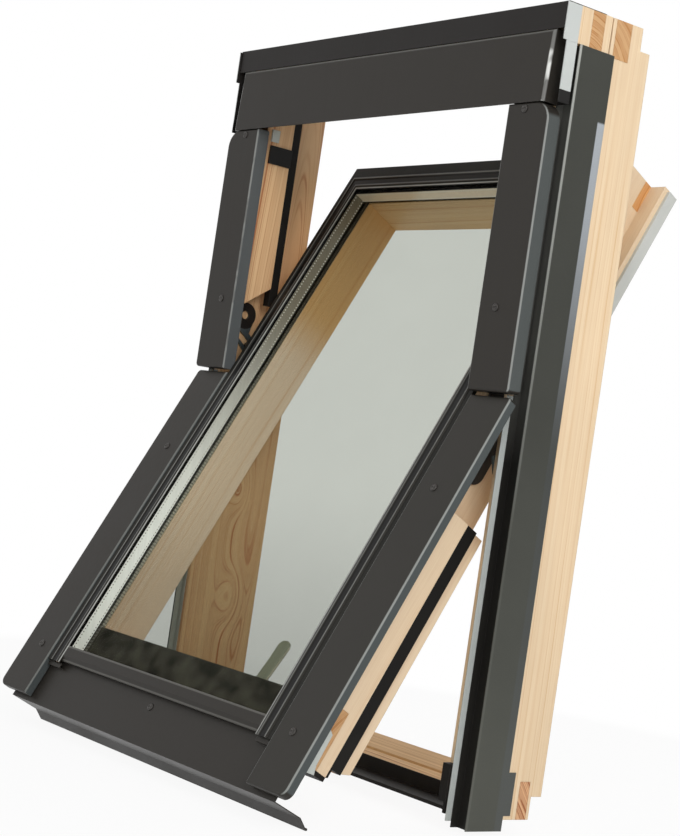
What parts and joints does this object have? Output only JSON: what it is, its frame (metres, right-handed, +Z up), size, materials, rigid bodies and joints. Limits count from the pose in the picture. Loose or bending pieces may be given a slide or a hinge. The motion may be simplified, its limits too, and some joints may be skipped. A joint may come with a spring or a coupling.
{
  "type": "roof skylight",
  "caption": "Centre-pivot roof window: pine frame with dark coated covers, and a double-glazed pine sash that tilts about a mid-height axis, with a handle and latch at its foot.",
  "frame": {"origin": "middle of the sill's flat underside", "axes": "+X to the right seen from outside, +Y indoors, +Z up along the jambs from sill to head"},
  "size_m": [0.552, 0.4165, 0.7967],
  "materials": {
    "pine": "clear varnished pine with straight grain",
    "coated_aluminium": "dark grey-brown coil coating, satin",
    "light_grey_metal": "light grey coating, satin",
    "black_plastic": "black moulded plastic, matt",
    "black_rubber": "black sealing rubber, matt",
    "grey_rubber": "grey sealing rubber, matt",
    "glass": "clear float glass",
    "spacer_aluminium": "bright perforated spacer strip",
    "black_steel": "black painted steel",
    "handle_metal": "olive-grey coating, satin",
    "bare_steel": "bare steel, satin",
    "screw_steel": "dark plated screw heads"
  },
  "bodies": {
    "frame": {"frame_screws": "screw_steel", "head_flashing": "coated_aluminium", "head_rail": "pine", "head_seal": "black_rubber", "hood": "coated_aluminium", "left_catch": "light_grey_metal", "left_cover_clip": "black_plastic", "left_end_plate": "light_grey_metal", "left_frame_seal": "black_rubber", "left_gutter": "coated_aluminium", "left_hinge_track": "black_steel", "left_jamb": "pine", "left_keeper": "black_plastic", "left_side_plate": "light_grey_metal", "left_sill_block": "black_rubber", "left_upper_cover": "coated_aluminium", "left_upstand": "light_grey_metal", "right_catch": "light_grey_metal", "right_cover_clip": "black_plastic", "right_end_plate": "light_grey_metal", "right_frame_seal": "black_rubber", "right_gutter": "coated_aluminium", "right_hinge_track": "black_steel", "right_jamb": "pine", "right_keeper": "black_plastic", "right_side_plate": "light_grey_metal", "right_sill_block": "black_rubber", "right_upper_cover": "coated_aluminium", "right_upstand": "light_grey_metal", "sill_cover": "coated_aluminium", "sill_keeper": "bare_steel", "sill_rail": "pine"},
    "sash": {"apron": "coated_aluminium", "bedding_band": "black_rubber", "bottom_bead": "coated_aluminium", "bottom_rail": "pine", "bottom_seal": "black_rubber", "corner_plates": "light_grey_metal", "edge_gasket": "black_rubber", "handle_base": "handle_metal", "inner_pane": "glass", "left_bead": "coated_aluminium", "left_hinge_shoe": "black_steel", "left_lower_cover": "coated_aluminium", "left_side_seal": "black_rubber", "left_stile": "pine", "lip_seal": "grey_rubber", "outer_pane": "glass", "right_bead": "coated_aluminium", "right_hinge_shoe": "black_steel", "right_lower_cover": "coated_aluminium", "right_side_seal": "black_rubber", "right_stile": "pine", "sash_screws": "screw_steel", "setting_blocks": "black_rubber", "spacer_frame": "spacer_aluminium", "top_bead": "coated_aluminium", "top_rail": "pine"},
    "handle": {"handle_lever": "handle_metal"},
    "bolt": {"latch_bolt": "bare_steel"}
  },
  "joints": [
    {"name": "sash_pivot", "type": "hinge", "parent": "frame", "child": "sash", "pos_m": [0, -0.064, 0.397], "axis": [-1, 0, 0], "range_deg": [-27.66, 107.34]},
    {"name": "handle_turn", "type": "hinge", "parent": "sash", "child": "handle", "pos_m": [0, -0.127, 0.04954], "axis": [-1, 0, 0], "range_deg": [-13, 30]},
    {"name": "bolt_slide", "type": "slide", "parent": "sash", "child": "bolt", "axis": [0, 0.4642, 0.8857], "range_m": [-0.005, 0.0116]}
  ],
  "couplings": [
    {"joint": "bolt_slide", "follows": "handle_turn", "m_per_rad": 0.022}
  ]
}
